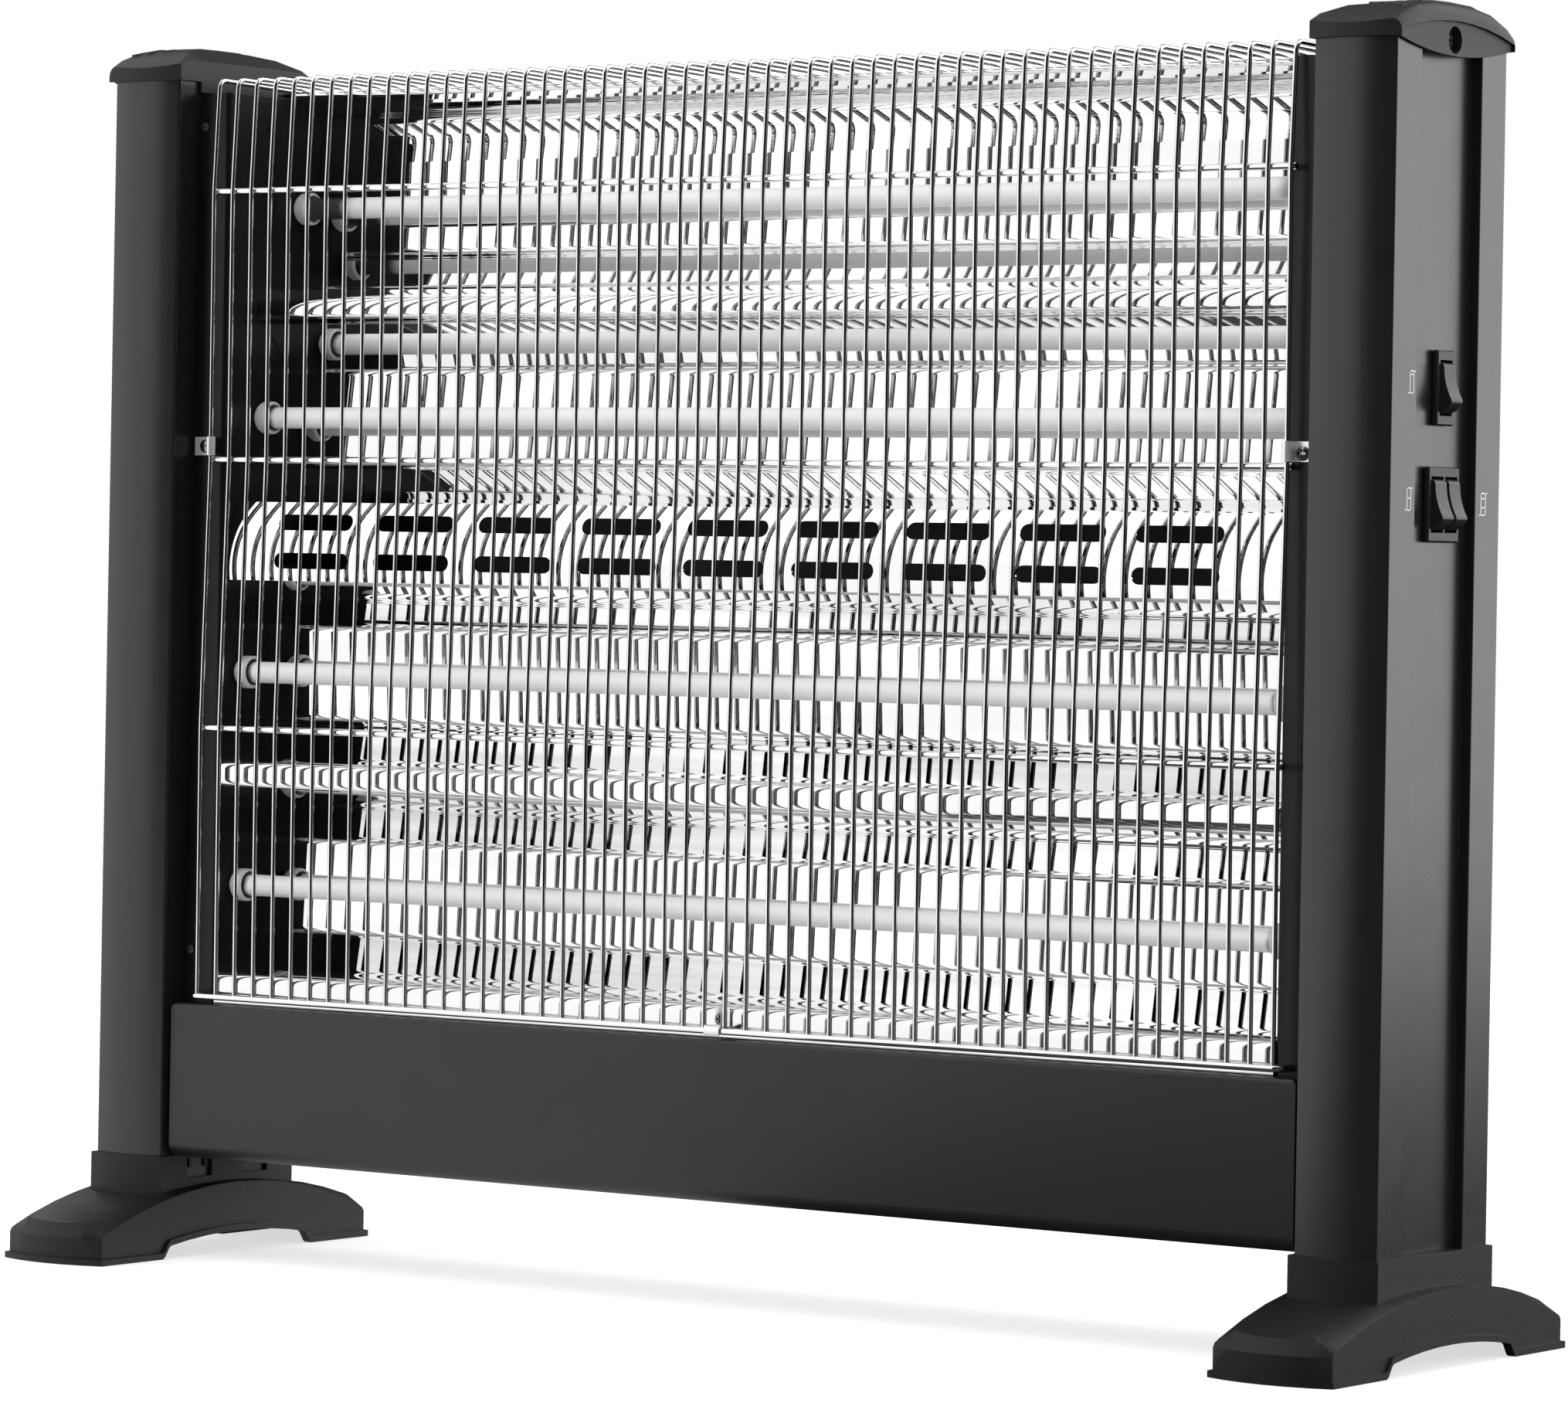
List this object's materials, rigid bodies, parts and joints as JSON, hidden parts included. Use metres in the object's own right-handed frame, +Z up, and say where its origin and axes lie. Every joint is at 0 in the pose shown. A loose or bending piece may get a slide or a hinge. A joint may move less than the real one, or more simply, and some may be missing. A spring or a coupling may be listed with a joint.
{
  "type": "infrared quartz heater",
  "caption": "Free-standing infrared heater: side posts on arched feet hold a polished folded reflector with quartz tubes behind a wire guard, a lower housing and rocker switches.",
  "frame": {"origin": "centre of the bounding box at floor level, between the two feet", "axes": "+X along the heater towards the post with the switches, -Y out of the front through the guard, +Z up"},
  "size_m": [0.6752, 0.1966, 0.5367],
  "materials": {
    "dark_plastic": "satin moulded",
    "dark_paint": "satin powder coat",
    "black_plate": "black enamel",
    "bright_sheet": "polished",
    "chrome_wire": "bright plated",
    "clip_steel": "plated sheet",
    "milky_quartz": "milky",
    "ceramic": "unglazed ceramic",
    "resistance_wire": "oxidised",
    "switch_plastic": "semi gloss",
    "block_plastic": "matte",
    "lead_sleeve": "glass fibre sleeve",
    "rubber": "matte"
  },
  "bodies": {
    "heater": {"left_post": "dark_paint", "right_post": "dark_paint", "left_cap": "dark_plastic", "right_cap": "dark_plastic", "left_foot": "dark_plastic", "right_foot": "dark_plastic", "front_panel": "dark_paint", "rear_cover": "dark_paint", "left_end_plate": "black_plate", "right_end_plate": "black_plate", "upper_reflector": "bright_sheet", "vent_strip": "bright_sheet", "lower_reflector": "bright_sheet", "quartz_tube_1": "milky_quartz", "quartz_tube_2": "milky_quartz", "quartz_tube_3": "milky_quartz", "quartz_tube_4": "milky_quartz", "heating_coil_1": "resistance_wire", "heating_coil_2": "resistance_wire", "heating_coil_3": "resistance_wire", "heating_coil_4": "resistance_wire", "tube_holder_left_1": "ceramic", "tube_holder_left_2": "ceramic", "tube_holder_left_3": "ceramic", "tube_holder_left_4": "ceramic", "tube_holder_right_1": "ceramic", "tube_holder_right_2": "ceramic", "tube_holder_right_3": "ceramic", "tube_holder_right_4": "ceramic", "guard": "chrome_wire", "left_guard_clip": "clip_steel", "right_guard_clip": "clip_steel", "lower_guard_clip": "clip_steel", "single_switch": "switch_plastic", "twin_switch": "switch_plastic", "terminal_block": "block_plastic", "tilt_switch": "block_plastic", "thermal_cutout": "block_plastic", "left_wiring": "lead_sleeve", "right_wiring": "lead_sleeve", "cable_inlet": "rubber"},
    "single_rocker": {"single_rocker": "switch_plastic"},
    "front_rocker": {"front_rocker": "switch_plastic"},
    "rear_rocker": {"rear_rocker": "switch_plastic"}
  },
  "joints": [
    {"name": "single_rocker_press", "type": "hinge", "parent": "heater", "child": "single_rocker", "pos_m": [0.3221, 0.0023, 0.3846], "axis": [0, 1, 0], "range_deg": [0, 30]},
    {"name": "front_rocker_press", "type": "hinge", "parent": "heater", "child": "front_rocker", "pos_m": [0.3221, -0.00315, 0.3386], "axis": [0, 1, 0], "range_deg": [0, 30]},
    {"name": "rear_rocker_press", "type": "hinge", "parent": "heater", "child": "rear_rocker", "pos_m": [0.3221, 0.00775, 0.3386], "axis": [0, 1, 0], "range_deg": [0, 30]}
  ]
}
